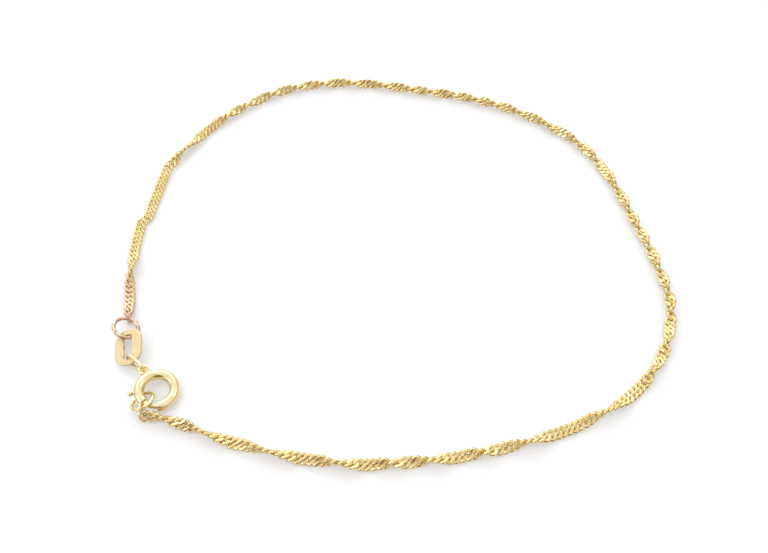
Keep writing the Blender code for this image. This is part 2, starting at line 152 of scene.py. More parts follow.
# Clasp, as in the part's source, but its tube is a touch thicker, so its middle lies a touch higher
CLASP_CENTRE = (-27.0 * MM, -20.83 * MM)
CLASP_TIP_DEG = 9.0
CLASP_TIP_BEARING_DEG = 185.0
CLASP_RADIUS = 1.95 * MM
CASE_RADIUS = 0.59 * MM
CASE_BORE_RADIUS = 0.36 * MM
MOUTH_FAR_DEG = 281.0
MOUTH_NEAR_DEG = 233.0
CASE_WALL_SECTORS = 44
SLOT_SECTORS = 4
CASE_STEP_DEG = 3.0
CASE_EDGE = 0.035 * MM
CASE_EDGE_SEGMENTS = 3
CASE_EDGE_FROM_DEG = 50
SLOT_WIDTH = 0.36 * MM
SLOT_CLOSED_END_DEG = 141.0
TONGUE_RADIUS = 0.28 * MM
TONGUE_TAIL_DEG = 180.0
TONGUE_TIP_DEG = 288.0
TONGUE_STEPS = 36
TONGUE_STEPS_LEFT_TO_ENDS = 8
TONGUE_END_STEPS = 6
PEG_DEG = 193.0
PEG_SHAFT_RADIUS = 0.12 * MM
PEG_KNOB_START = 2.57 * MM
PEG_KNOB_RADIUS = 0.31 * MM
PEG_KNOB_HEIGHT = 0.6 * MM
PEG_KNOB_FROM_DEG = 24
PEG_KNOB_STEPS = 16
EYELET_DEG = 128.5
EYELET_REACH = 2.99 * MM
EYELET_RADIUS = 0.49 * MM
EYELET_WIRE = 0.32 * MM

# Connector and tag, as in the part's source, but the tag's slot is a touch narrower, its edges rounder
CONNECTOR_LENGTH = 3.26 * MM
CONNECTOR_WIDTH = 1.56 * MM
CONNECTOR_WIRE = 0.38 * MM
CONNECTOR_BEARING_DEG = 142.0
CONNECTOR_LEAN_DEG = 70.0
TAG_HALF_WIDTH = 1.625 * MM
TAG_HALF_LENGTH = 2.3 * MM
TAG_HALF_THICKNESS = 0.16 * MM
TAG_CORNER = 1.45 * MM
TAG_EDGE = 0.08 * MM
TAG_EDGE_SUPPORT = 1.3
TAG_SLOT_HALF_WIDTH = 0.50 * MM
TAG_SLOT_HALF_LENGTH = 1.65 * MM
TAG_SLOT_CORNER = 0.36 * MM
TAG_SLOT_OFFSET = -0.1 * MM
TAG_TURN_DEG = 10.0
TAG_TILT_DEG = 14.0
CORNER_STEPS = 20
EDGE_STEPS = 4

# Metal colours
GOLD = (0.79, 0.645, 0.33)
GOLD_DEEP = (0.70, 0.53, 0.24)
# PALE_GOLD and PALE_GOLD_DEEP, for the clasp, rings and connector, are lighter than the links' gold partly as
# painted light, for the clasp's brighter lighting.
PALE_GOLD = (0.87, 0.735, 0.445)
PALE_GOLD_DEEP = (0.79, 0.635, 0.34)
SATIN = (0.70, 0.585, 0.36)
SATIN_DEEP = (0.56, 0.45, 0.25)
# TARNISH and TARNISH_WORN also colour the tag's slot wall, and there they are painted shade.
TARNISH = (0.50, 0.32, 0.22)
TARNISH_PALE = (0.62, 0.43, 0.31)
TARNISH_WORN = (0.76, 0.60, 0.46)

# Surface detail: scales are features in a metre, and edges are the noise values between which a tone changes
PATCH_SCALE = 900
PATCH_EDGES = (0.35, 0.65)
WEAR_EDGES = (0.3, 0.7)
MOTTLE_SCALE = 1500
LINK_MOTTLE_EDGES = (0.35, 0.6)
LINK_MOTTLE_LEAST = 0.45
RING_MOTTLE_EDGES = (0.42, 0.6)
NOISE_DETAIL = 4.0
FINE_DETAIL = 3.0
SCRATCH_SCALE = 9000
SCRATCH_STRETCH = 6.0
SCRATCH_TURN_DEG = 35.0
SCRATCH_DEPTH = 0.0006 * MM
PIT_SCALE = 7000
PIT_DEPTH = 0.002 * MM
BRUSH_SCALE = 9000
BRUSH_STRETCH = 25.0
BRUSH_EDGES = (0.3, 0.6)
BRUSH_DEPTH = 0.004 * MM
SATIN_WORN_SHARE = 0.4
POLISHED_ROUGHNESS = (0.13, 0.24)
LINK_ROUGHNESS = (0.14, 0.26)
SATIN_ROUGHNESS = (0.32, 0.5)
TARNISHED_ROUGHNESS = (0.42, 0.26)

# Stains on the links: their spots in mm, the mm within which they are full and beyond which they end
TARNISH_SPOT = (-32.1, -11.5, 0.8)
TARNISH_NEAR_FAR = (2.6, 8.6)
REDDENED_SPOT = (-23.5, -24.7, 0.7)
REDDENED_NEAR_FAR = (0.4, 2.2)
REDDENED_SHARE = 0.4

# Floor and light
FLOOR_SIZE = 8.0
FLOOR_COLOUR = (0.58, 0.585, 0.60)
FLOOR_GLOW = 0.31
FLOOR_ROUGHNESS = 0.8
FLOOR_SPECULAR = 0.2
TENT_HORIZON = (0.40, 0.33, 0.24)
TENT_WHITE_FROM = 0.45
TENT_STRENGTH = 1.08
BRIGHT_FROM = 0.68
BRIGHT_DIRECTION = (-0.25, 0.9, 0.35)
BRIGHT_STRENGTH = 3.4
OPENING_DIRECTION = (0.0, -0.85, 0.5)
OPENING_INNER_DEG = 14.0
OPENING_OUTER_DEG = 38.0
OPENING_COLOUR = (0.26, 0.18, 0.09)
# Lamps: name, place, size, power
LAMPS = (
    ("key", (-0.34, -0.09, 0.33), 0.10, 0.35),
    ("fill", (0.28, 0.10, 0.36), 0.05, 0.1),
)


def box_middle(node):
    """Middle of a node's box."""
    low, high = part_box(node)
    return (low + high) / 2


def smooth_curve(points):
    """Dense points on a centripetal Catmull-Rom curve through the points."""
    points = np.array(points)
    points = np.vstack([2 * points[0] - points[1], points, 2 * points[-1] - points[-2]])
    shares = np.linspace(0, 1, CURVE_STEPS, endpoint=False)[:, None]
    dense = []
    for index in range(1, len(points) - 2):
        a, b, c, d = points[index - 1:index + 3]
        t0 = 0.0
        t1 = t0 + np.linalg.norm(b - a) ** 0.5
        t2 = t1 + np.linalg.norm(c - b) ** 0.5
        t3 = t2 + np.linalg.norm(d - c) ** 0.5
        t = t1 + (t2 - t1) * shares
        ab = a + (b - a) * (t - t0) / (t1 - t0)
        bc = b + (c - b) * (t - t1) / (t2 - t1)
        cd = c + (d - c) * (t - t2) / (t3 - t2)
        abc = ab + (bc - ab) * (t - t0) / (t2 - t0)
        bcd = bc + (cd - bc) * (t - t1) / (t3 - t1)
        dense.append(abc + (bcd - abc) * (t - t1) / (t2 - t1))
    dense.append(points[-2][None])
    return np.vstack(dense)


def unit(vectors):
    """Vectors brought to length one."""
    return vectors / np.linalg.norm(vectors, axis=-1, keepdims=True)


def roll_along(distances):
    """The ribbon's roll in radians from facing the camera: half a turn at every half turn, flat between."""
    places, rolls = [], []
    for index, (at, reach) in enumerate(HALF_TURNS):
        on_edge = math.pi * (index + 0.5)
        before = at - HALF_TURNS[index - 1][0] if index else 2 * reach
        after = HALF_TURNS[index + 1][0] - at if index + 1 < len(HALF_TURNS) else 2 * reach
        start, end = min(reach, before / 2 - LEAST_FLAT), min(reach, after / 2 - LEAST_FLAT)
        dwell = EDGE_DWELL * max(0.0, reach - SHORT_REACH)
        slack = EDGE_DWELL_ROLL * min(1.0, dwell / FULL_DWELL)
        places += [at - start, at - dwell, at + dwell + LEAST_DWELL, at + end]
        rolls += [on_edge - math.pi / 2, on_edge - slack, on_edge + slack, on_edge + math.pi / 2]
    return np.interp(distances, np.array(places) * MM, rolls)


class ChainLine:
    """The chain's middle line with its ribbon's directions, read at any distance along it."""

    def __init__(self, points):
        self.line = smooth_curve(points)
        steps = np.linalg.norm(np.diff(self.line, axis=0), axis=1)
        self.distance = np.concatenate([[0], np.cumsum(steps)])
        self.length = self.distance[-1]
        samples = np.linspace(0, self.length, LINE_SAMPLES)
        line = np.stack([np.interp(samples, self.distance, self.line[:, axis]) for axis in range(3)], 1)
        along = unit(np.gradient(line, axis=0))
        toward = np.array(CAMERA_PLACE) - line
        toward = unit(toward - along * (toward * along).sum(1, keepdims=True))
        aside = np.cross(along, toward)
        roll = roll_along(samples)[:, None]
        face = toward * np.cos(roll) + aside * np.sin(roll)
        across = np.cross(face, along)
        line[:, :2] += aside[:, :2] * self.side_shift(samples)[:, None]
        reach = LINK_WIDTH / 2 * np.abs(across[:, 2]) + FACE_HALF_THICKNESS * np.abs(face[:, 2])
        self.samples = samples
        self.values = np.hstack([line, along, across, face])
        self.values[:, 2] = self.rest_height(line[:, 2], reach)

    @staticmethod
    def side_shift(samples):
        """How far the ribbon lies to one side of its route, from the small steps that its links took."""
        shift = np.zeros_like(samples)
        for at, size, ease in SIDE_STEPS:
            past = samples - at * MM
            shift += size / 2 * MM * np.tanh(past / SIDE_STEP_RUN) * np.exp(-np.abs(past) / (ease * MM))
        return shift

    def rest_height(self, route_height, reach):
        """Height of the line: as low as the ribbon allows at every place, and stiff over a few links."""
        spacing = self.samples[1]
        window = int(REST_WINDOW / spacing)
        needed = np.array([reach[max(0, i - window):i + window + 1].max() for i in range(len(reach))])
        kernel = np.hanning(2 * window + 1)
        padded = np.pad(needed, window, mode="edge")
        eased = np.convolve(padded, kernel / kernel.sum(), mode="valid")
        resting = eased + TABLE_GAP
        end_share = np.clip(np.minimum(self.samples, self.length - self.samples) / END_EASE, 0, 1)
        return route_height + (resting - route_height) * end_share

    def read(self, distances):
        """Place, and the directions along, across the ribbon and out of its face, at the distances."""
        values = np.stack([np.interp(distances, self.samples, column) for column in self.values.T], -1)
        return values[..., 0:3], unit(values[..., 3:6]), unit(values[..., 6:9]), unit(values[..., 9:12])


def closed_run(path):
    """Directions along a closed path, at each of its points."""
    return unit(np.roll(path, -1, axis=0) - np.roll(path, 1, axis=0))


def link_shape():
    """One link's wire about the origin, long in X, wound and pressed so that it locks into the next."""
    turns = np.linspace(0, math.tau, PATH_STEPS, endpoint=False)
    cos, sin = np.cos(turns), np.sin(turns)
    power = 2 / LINK_SQUARENESS
    half_length = (LINK_LENGTH - LINK_WIRE) / 2
    x = half_length * np.sign(cos) * np.abs(cos) ** power
    y = (LINK_WIDTH - LINK_WIRE) / 2 * np.sign(sin) * np.abs(sin) ** power
    path = np.stack([x, y, np.zeros_like(x)], 1)
    along = closed_run(path)
    outward = np.cross(along, UP)

    # The wire's sides turn back by as much as the link is wound, so that they lie level with the filed faces
    path_twist = np.radians(LINK_TWIST_DEG) * path[:, 0] / half_length
    sides = np.linspace(0, math.tau, WIRE_SIDES, endpoint=False) + (path_twist * along[:, 0])[:, None]
    ring = outward[:, None] * np.cos(sides)[..., None] + UP * np.sin(sides)[..., None]
    points = path[:, None] + ring * LINK_WIRE / 2
    twist = np.radians(LINK_TWIST_DEG) * points[..., 0] / half_length
    wound_y = points[..., 1] * np.cos(twist) - points[..., 2] * np.sin(twist)
    wound_z = points[..., 1] * np.sin(twist) + points[..., 2] * np.cos(twist)

    # The wire's middle is pressed towards the ribbon's plane, and then its surface is filed to the faces
    middle_z = (path[:, 1] * np.sin(path_twist))[:, None]
    pressed_z = wound_z - middle_z + WIRE_MIDDLE_LIMIT * soft_limit(middle_z / WIRE_MIDDLE_LIMIT)
    filed_z = FACE_HALF_THICKNESS * soft_limit(pressed_z / FACE_HALF_THICKNESS)
    return np.stack([points[..., 0], wound_y, filed_z], -1).reshape(-1, 3)


def soft_limit(values):
    """Values kept within minus one and one, with a short easing at the limit, as a filed face."""
    size = np.abs(values)
    start = 1 - FACE_SOFTNESS
    eased = start + FACE_SOFTNESS * np.tanh((size - start) / FACE_SOFTNESS)
    return np.sign(values) * np.where(size > start, eased, size)


def wire_faces(steps, sides):
    """Faces of one closed wire loop."""
    step, side = np.meshgrid(np.arange(steps), np.arange(sides), indexing="ij")
    next_step, next_side = (step + 1) % steps, (side + 1) % sides
    row, next_row = step * sides, next_step * sides
    return np.stack([row + side, next_row + side, next_row + next_side, row + next_side], -1).reshape(-1, 4)


def mesh_from_arrays(name, points, faces, merge=False):
    """Smooth-shaded mesh of points and quads, its faces turned outward, its points merged where asked."""
    mesh = bpy.data.meshes.new(name)
    mesh.vertices.add(len(points))
    mesh.vertices.foreach_set("co", np.asarray(points, np.float32).ravel())
    mesh.loops.add(faces.size)
    mesh.loops.foreach_set("vertex_index", faces.ravel().astype(np.int32))
    mesh.polygons.add(len(faces))
    mesh.polygons.foreach_set("loop_start", np.arange(0, faces.size, 4, dtype=np.int32))
    mesh.polygons.foreach_set("loop_total", np.full(len(faces), 4, np.int32))
    mesh.update(calc_edges=True)
    shape = bmesh.new()
    shape.from_mesh(mesh)
    if merge:
        bmesh.ops.remove_doubles(shape, verts=shape.verts, dist=MERGE_DISTANCE)
    bmesh.ops.recalc_face_normals(shape, faces=shape.faces)
    shape.to_mesh(mesh)
    shape.free()
    mesh.shade_smooth()
    return mesh


def add_piece(name, mesh, material):
    """Object in the scene with one material."""
    piece = bpy.data.objects.new(name, mesh)
    if material:
        mesh.materials.append(material)
    bpy.context.scene.collection.objects.link(piece)
    return piece


def build_chain_links(material):
    """All the twisted curb links as one joined mesh."""
    route = [Vector((x * MM, y * MM, CHAIN_ROUTE_HEIGHT)) for x, y in CHAIN_ROUTE_MM]
    hanging = hanging_link_frame()
    held_wire = hanging @ Vector(((END_LINK_LENGTH - END_LINK_WIRE) / 2, 0, 0))
    line = ChainLine([box_middle("jump_end_link_1"), *route, held_wire])
    first, last = FIRST_LINK_AT, line.length - LAST_LINK_BACK
    count = round((last - first) / LINK_PITCH)
    shape = link_shape()
    faces = wire_faces(PATH_STEPS, WIRE_SIDES)
    points, quads = [], []
    for index in range(count + 1):
        middle = first + (last - first) * index / count
        place, along, across, face = line.read(middle + LINK_YIELD * shape[:, 0])
        stiff_run = along * shape[:, :1] * (1 - LINK_YIELD)
        points.append(place + stiff_run + across * shape[:, 1:2] + face * shape[:, 2:3])
        quads.append(faces + index * len(shape))
    mesh = mesh_from_arrays("chain_links", np.vstack(points), np.vstack(quads))
    chain = add_piece("chain_links", mesh, material)
    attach(chain, "bracelet")
    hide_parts("chain", "jump_end_link_2", "clasp_end_link_2", "clasp_end_link_3", "clasp_end_link_4")


class Finish:
    """A metal material under construction, with short ways to add its nodes."""

    def __init__(self, name):
        self.material = bpy.data.materials.new(name)
        self.material.use_nodes = True
        self.nodes, self.links = self.material.node_tree.nodes, self.material.node_tree.links
        self.shader = self.nodes["Principled BSDF"]
        self.shader.inputs["Metallic"].default_value = 1.0
        self.place = self.nodes.new("ShaderNodeTexCoord").outputs["Object"]

    def noise(self, scale, detail=NOISE_DETAIL, stretch=None, turn_deg=0.0):
        """Noise over the metal, features 1/scale metres wide, longer along the stretched ways."""
        source = self.place
        if stretch:
            mapping = self.nodes.new("ShaderNodeMapping")
            mapping.vector_type = "TEXTURE"
            mapping.inputs["Rotation"].default_value = (0, 0, math.radians(turn_deg))
            mapping.inputs["Scale"].default_value = stretch
            self.links.new(source, mapping.inputs["Vector"])
            source = mapping.outputs["Vector"]
        noise = self.nodes.new("ShaderNodeTexNoise")
        noise.inputs["Scale"].default_value = scale
        noise.inputs["Detail"].default_value = detail
        self.links.new(source, noise.inputs["Vector"])
        return noise.outputs["Fac"]

    def spread(self, value, low, high, start=0.0, end=1.0):
        """The value brought from start..end to low..high."""
        ranged = self.nodes.new("ShaderNodeMapRange")
        ranged.inputs["From Min"].default_value = start
        ranged.inputs["From Max"].default_value = end
        ranged.inputs["To Min"].default_value = low
        ranged.inputs["To Max"].default_value = high
        self.links.new(value, ranged.inputs["Value"])
        return ranged.outputs["Result"]

    def mix(self, share, first, second):
        """Mix of two colours, each a socket or a tuple."""
        mix = self.nodes.new("ShaderNodeMix")
        mix.data_type = "RGBA"
        self.links.new(share, mix.inputs["Factor"])
        for key, colour in (("A", first), ("B", second)):
            if isinstance(colour, tuple):
                mix.inputs[key].default_value = (*colour, 1)
            else:
                self.links.new(colour, mix.inputs[key])
        return mix.outputs["Result"]

    def product(self, first, second):
        """Product of two values."""
        product = self.nodes.new("ShaderNodeMath")
        product.operation = "MULTIPLY"
        self.links.new(first, product.inputs[0])
        self.links.new(second, product.inputs[1])
        return product.outputs["Value"]

    def nearness(self, spot_mm, near_mm, far_mm):
        """One within the near distance of a spot, nothing beyond the far one."""
        distance = self.nodes.new("ShaderNodeVectorMath")
        distance.operation = "DISTANCE"
        distance.inputs[1].default_value = Vector(spot_mm) * MM
        self.links.new(self.place, distance.inputs[0])
        return self.spread(distance.outputs["Value"], 1.0, 0.0, near_mm * MM, far_mm * MM)

    def colour(self, socket):
        """Sets the metal's colour."""
        self.links.new(socket, self.shader.inputs["Base Color"])

    def roughness(self, socket):
        """Sets the roughness."""
        self.links.new(socket, self.shader.inputs["Roughness"])

    def bump(self, height, depth):
        """Raises the surface by the value, up to the depth in metres."""
        bump = self.nodes.new("ShaderNodeBump")
        bump.inputs["Strength"].default_value = 1.0
        bump.inputs["Distance"].default_value = depth
        self.links.new(height, bump.inputs["Height"])
        self.links.new(bump.outputs["Normal"], self.shader.inputs["Normal"])


def polished_gold():
    """Polished gold, worn in patches, with hair-fine scratches; its pale colours are the gold's own tone,
    raised lighter than the links' gold as painted light.
    """
    finish = Finish("gold_polished")
    patches = finish.noise(PATCH_SCALE)
    finish.colour(finish.mix(finish.spread(patches, 0, 1, *PATCH_EDGES), PALE_GOLD_DEEP, PALE_GOLD))
    finish.roughness(finish.spread(patches, *POLISHED_ROUGHNESS, *WEAR_EDGES))
    scratches = finish.noise(SCRATCH_SCALE, FINE_DETAIL, (1, SCRATCH_STRETCH, 1), SCRATCH_TURN_DEG)
    finish.bump(scratches, SCRATCH_DEPTH)
    return finish.material


def chain_gold():
    """Gold of the links: tarnished towards the jump ring, with a few reddened links near the clasp."""
    finish = Finish("gold_links")
    patches = finish.noise(PATCH_SCALE)
    clean = finish.mix(finish.spread(patches, 0, 1, *PATCH_EDGES), GOLD_DEEP, GOLD)
    mottle = finish.spread(finish.noise(MOTTLE_SCALE), LINK_MOTTLE_LEAST, 1.0, *LINK_MOTTLE_EDGES)
    reddened = finish.product(finish.nearness(REDDENED_SPOT, *REDDENED_NEAR_FAR), mottle)
    clean = finish.mix(finish.spread(reddened, 0, REDDENED_SHARE), clean, TARNISH)
    tarnished = finish.product(finish.nearness(TARNISH_SPOT, *TARNISH_NEAR_FAR), mottle)
    finish.colour(finish.mix(tarnished, clean, TARNISH_PALE))
    finish.roughness(finish.spread(patches, *LINK_ROUGHNESS, *WEAR_EDGES))
    return finish.material


def satin_gold():
    """Gold of the tag, brushed along its length."""
    finish = Finish("gold_satin")
    brushed = finish.noise(BRUSH_SCALE, FINE_DETAIL, (1, BRUSH_STRETCH, 1), TAG_TURN_DEG)
    worn = finish.spread(finish.noise(PATCH_SCALE), SATIN_WORN_SHARE, 1, *PATCH_EDGES)
    streaked = finish.product(worn, finish.spread(brushed, 0, 1, *BRUSH_EDGES))
    finish.colour(finish.mix(streaked, SATIN_DEEP, SATIN))
    finish.roughness(finish.spread(brushed, *SATIN_ROUGHNESS, *WEAR_EDGES))
    finish.bump(brushed, BRUSH_DEPTH)
    return finish.material


def tarnish_and_slot_shade_gold():
    """Gold of the jump ring, browned unevenly, with paler worn patches; on the tag's slot wall the same brown
    is painted shade.
    """
    finish = Finish("gold_tarnish_and_slot_shade")
    mottle = finish.noise(MOTTLE_SCALE)
    finish.colour(finish.mix(finish.spread(mottle, 0, 1, *RING_MOTTLE_EDGES), TARNISH, TARNISH_WORN))
    finish.roughness(finish.spread(mottle, *TARNISHED_ROUGHNESS, *PATCH_EDGES))
    finish.bump(finish.noise(PIT_SCALE), PIT_DEPTH)
    return finish.material


def direction(bearing_deg, rise_deg=0.0):
    """Unit vector at a bearing from +X and a rise over the table."""
    bearing, rise = math.radians(bearing_deg), math.radians(rise_deg)
    return Vector((math.cos(bearing) * math.cos(rise), math.sin(bearing) * math.cos(rise), math.sin(rise)))


def frame_from(origin, x_axis, y_axis):
    """Matrix whose first two axes follow the two directions given."""
    x_axis = x_axis.normalized()
    z_axis = x_axis.cross(y_axis).normalized()
    return Matrix.Translation(origin) @ Matrix((x_axis, z_axis.cross(x_axis), z_axis)).transposed().to_4x4()


def arc(radius, start_deg, end_deg, steps):
    """Points along an arc about the origin in the XY plane, both ends included."""
    turns = np.radians(np.linspace(start_deg, end_deg, steps + 1))
    return np.stack([radius * np.cos(turns), radius * np.sin(turns), np.zeros_like(turns)], 1)


def placed(frame, points):
    """Points carried from a frame into the scene."""
    matrix = np.array(frame)
    return np.asarray(points) @ matrix[:3, :3].T + matrix[:3, 3]


def ride_part(name, mesh, material, node=None, body="bracelet"):
    """A piece of the bracelet's metal, in place of a CAD node where one is named."""
    piece = add_piece(name, mesh, material)
    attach(piece, body)
    if node:
        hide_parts(node)
    return piece


def wire_loop(name, path, wire, frame):
    """Mesh of a closed ring of round wire, its path flat in the frame's XY plane."""
    outward = np.cross(closed_run(path), UP)
    sides = np.linspace(0, math.tau, RING_SIDES, endpoint=False)
    around = outward[:, None] * np.cos(sides)[None, :, None] + UP * np.sin(sides)[None, :, None]
    points = (path[:, None] + around * wire / 2).reshape(-1, 3)
    return mesh_from_arrays(name, placed(frame, points), wire_faces(len(path), RING_SIDES))


def oval_path(length, width):
    """Closed path of two straights and two half circles, long in X."""
    reach = np.array([(length - width) / 2, 0, 0])
    halves = arc(width / 2, -90, 90, CORNER_STEPS) + reach, arc(width / 2, 90, 270, CORNER_STEPS) - reach
    return np.vstack(halves)


def ring_frames():
    """Frames of the jump ring and the end ring, each on its CAD ring's middle and lean."""
    jump = frame_from(box_middle("jump_ring"), direction(JUMP_BEARING_DEG),
                      direction(JUMP_BEARING_DEG + 90, JUMP_LEAN_DEG))
    end = frame_from(box_middle("end_ring"), direction(END_BEARING_DEG, END_LEAN_DEG),
                     direction(END_BEARING_DEG + 90))
    return jump, end


def ring_run(frame, hook_deg):
    """The way a ring's wire runs where a link hooks it."""
    turn = math.radians(hook_deg)
    return frame.to_3x3() @ Vector((-math.sin(turn), math.cos(turn), 0))


def hanging_link_frame():
    """Frame of the link that hangs from the end ring."""
    hang = direction(HANGING_LINK_BEARING_DEG, -HANGING_LINK_DROP_DEG)
    run = ring_run(ring_frames()[1], END_HOOK_DEG)
    return frame_from(box_middle("clasp_end_link_1"), hang, run.cross(hang))


def first_link_frame():
    """Frame of the link that hooks the jump ring."""
    middle = box_middle("jump_end_link_1")
    along = (box_middle("jump_end_link_2") - middle).normalized()
    run = ring_run(ring_frames()[0], JUMP_HOOK_DEG)
    normal = (run - along * run.dot(along)).normalized()
    return frame_from(middle, along, normal.cross(along))


def build_rings(gold, tarnished):
    """Jump ring, end ring and the two end links, in fine wire."""
    jump, end = ring_frames()
    mesh = wire_loop("jump_ring_wire", arc(JUMP_RADIUS, 0, 360, RING_STEPS)[:-1], JUMP_WIRE, jump)
    ride_part("jump_ring_wire", mesh, tarnished, "jump_ring")
    mesh = wire_loop("end_ring_wire", arc(END_RADIUS, 0, 360, RING_STEPS)[:-1], END_WIRE, end)
    ride_part("end_ring_wire", mesh, gold, "end_ring")
    path = oval_path(END_LINK_LENGTH - END_LINK_WIRE, END_LINK_WIDTH - END_LINK_WIRE)
    mesh = wire_loop("jump_hook_link", path, END_LINK_WIRE, first_link_frame())
    ride_part("jump_hook_link", mesh, tarnished, "jump_end_link_1")
    mesh = wire_loop("clasp_hook_link", path, END_LINK_WIRE, hanging_link_frame())
    ride_part("clasp_hook_link", mesh, gold, "clasp_end_link_1")


def clasp_frame():
    """The clasp's own frame: its axis along Z, tipped so that one side is up and the other on the table."""
    tip = math.radians(CLASP_TIP_DEG)
    tip_axis = direction(CLASP_TIP_BEARING_DEG).cross(Vector((0, 0, 1)))
    height = CLASP_RADIUS * math.sin(tip) + CASE_RADIUS
    return Matrix.Translation((*CLASP_CENTRE, height)) @ Matrix.Rotation(tip, 4, tip_axis)


def wall_turns(radius):
    """Angles round the tube's section: across the slot, then on round the wall, for parallel slot sides."""
    slot_half = math.asin(SLOT_WIDTH / 2 / radius)
    across_slot = np.linspace(-slot_half, slot_half, SLOT_SECTORS, endpoint=False)
    round_wall = np.linspace(slot_half, math.tau - slot_half, CASE_WALL_SECTORS, endpoint=False)
    return np.concatenate([across_slot, round_wall])


def case_mesh(frame):
    """Hollow tube from the mouth's far side round to its near side, slotted along the last of its way."""
    slot_start = SLOT_CLOSED_END_DEG + 360
    plain_steps = round((slot_start - MOUTH_FAR_DEG) / CASE_STEP_DEG)
    slotted_steps = round((MOUTH_NEAR_DEG + 360 - slot_start) / CASE_STEP_DEG)
    plain = np.linspace(MOUTH_FAR_DEG, slot_start, plain_steps, endpoint=False)
    slotted = np.linspace(slot_start, MOUTH_NEAR_DEG + 360, slotted_steps + 1)
    stations = np.concatenate([plain, slotted])
    points = []
    for station in stations:
        outward = np.array(direction(station))
        for radius in (CASE_RADIUS, CASE_BORE_RADIUS):
            turns = wall_turns(radius)
            reach = CLASP_RADIUS + radius * np.cos(turns)
            points.append(outward * reach[:, None] + UP * radius * np.sin(turns)[:, None])

    sectors = CASE_WALL_SECTORS + SLOT_SECTORS
    cell_faces = {}
    for step in range(len(stations) - 1):
        for sector in range(SLOT_SECTORS if step >= plain_steps else 0, sectors):
            outer = [row * 2 * sectors + turn % sectors
                     for row in (step, step + 1) for turn in (sector, sector + 1)]
            inner = [corner + sectors for corner in outer]
            quads = (
                (outer[0], outer[2], outer[3], outer[1]), (inner[0], inner[1], inner[3], inner[2]),
                (outer[0], inner[0], inner[2], outer[2]), (outer[1], outer[3], inner[3], inner[1]),
                (outer[0], outer[1], inner[1], inner[0]), (outer[2], inner[2], inner[3], outer[3]),
            )
            for quad in quads:
                cell_faces.setdefault(frozenset(quad), []).append(quad)
    faces = np.array([quads[0] for quads in cell_faces.values() if len(quads) == 1])
    return mesh_from_arrays("clasp_tube", placed(frame, np.vstack(points)), faces)


def turned_mesh(name, profile, frame):
    """A shape turned about X from pairs of place along it and radius, closed to a point at both ends."""
    profile = np.array(profile)
    sides = np.linspace(0, math.tau, RING_SIDES, endpoint=False)
    points = np.stack([np.broadcast_to(profile[:, :1], (len(profile), RING_SIDES)),
                       profile[:, 1:] * np.cos(sides), profile[:, 1:] * np.sin(sides)], -1)
    faces = wire_faces(len(profile), RING_SIDES)[:-RING_SIDES]
    return mesh_from_arrays(name, placed(frame, points.reshape(-1, 3)), faces, merge=True)


def rounded_end(radius):
    """Pairs of distance and radius over a wire's round end, from its tip inward."""
    turns = np.radians(np.linspace(0, 90, TONGUE_END_STEPS))
    return [(radius * (1 - math.cos(turn)), radius * math.sin(turn)) for turn in turns]


def tongue_mesh(frame):
    """The tongue's wire along its arc, with rounded ends."""
    end = rounded_end(TONGUE_RADIUS)
    length = math.radians(TONGUE_TIP_DEG - TONGUE_TAIL_DEG) * CLASP_RADIUS
    between = range(TONGUE_STEPS_LEFT_TO_ENDS, TONGUE_STEPS - TONGUE_STEPS_LEFT_TO_ENDS + 1)
    middle = [(length * step / TONGUE_STEPS, TONGUE_RADIUS) for step in between]
    profile = np.array(end + middle + [(length - along, radius) for along, radius in reversed(end)])
    sides = np.linspace(0, math.tau, RING_SIDES, endpoint=False)
    bearing = math.radians(TONGUE_TAIL_DEG) + profile[:, :1] / CLASP_RADIUS
    reach = CLASP_RADIUS + profile[:, 1:] * np.cos(sides)
    points = np.stack([reach * np.cos(bearing), reach * np.sin(bearing), profile[:, 1:] * np.sin(sides)], -1)
    faces = wire_faces(len(profile), RING_SIDES)[:-RING_SIDES]
    return mesh_from_arrays("tongue_wire", placed(frame, points.reshape(-1, 3)), faces, merge=True)


def build_clasp(gold):
    """Case with its eyelet, and the tongue with its thumb peg."""
    frame = clasp_frame()
    case = ride_part("clasp_tube", case_mesh(frame), gold, "clasp_case")
    edges = case.modifiers.new("eased_edges", "BEVEL")
    edges.width = CASE_EDGE
    edges.segments = CASE_EDGE_SEGMENTS
    edges.limit_method = "ANGLE"
    edges.angle_limit = math.radians(CASE_EDGE_FROM_DEG)
    eyelet = frame @ Matrix.Translation(direction(EYELET_DEG) * EYELET_REACH)
    mesh = wire_loop("clasp_eyelet", arc(EYELET_RADIUS, 0, 360, RING_STEPS)[:-1], EYELET_WIRE, eyelet)
    ride_part("clasp_eyelet", mesh, gold)

    ride_part("tongue_wire", tongue_mesh(frame), gold, "clasp_tongue", "tongue")
    ball = [(PEG_KNOB_START + PEG_KNOB_HEIGHT * (1 - math.cos(turn)) / 2, PEG_KNOB_RADIUS * math.sin(turn))
            for turn in np.radians(np.linspace(PEG_KNOB_FROM_DEG, 180, PEG_KNOB_STEPS))]
    peg = [(CLASP_RADIUS, 0), (CLASP_RADIUS, PEG_SHAFT_RADIUS),
           (PEG_KNOB_START, PEG_SHAFT_RADIUS), *ball]
    mesh = turned_mesh("tongue_peg", peg, frame @ Matrix.Rotation(math.radians(PEG_DEG), 4, "Z"))
    ride_part("tongue_peg", mesh, gold, None, "tongue")


def build_connector(gold):
    """Slim oval ring between the clasp's eyelet and the tag."""
    middle = box_middle("connector_ring")
    hole = clasp_frame() @ (direction(EYELET_DEG) * EYELET_REACH)
    along = (middle - hole).normalized()
    lean = Matrix.Rotation(-math.radians(CONNECTOR_LEAN_DEG), 3, along)
    frame = frame_from(middle, along, lean @ direction(CONNECTOR_BEARING_DEG + 90))
    path = oval_path(CONNECTOR_LENGTH - CONNECTOR_WIRE, CONNECTOR_WIDTH - CONNECTOR_WIRE)
    mesh = wire_loop("connector_wire", path, CONNECTOR_WIRE, frame)
    ride_part("connector_wire", mesh, gold, "connector_ring")


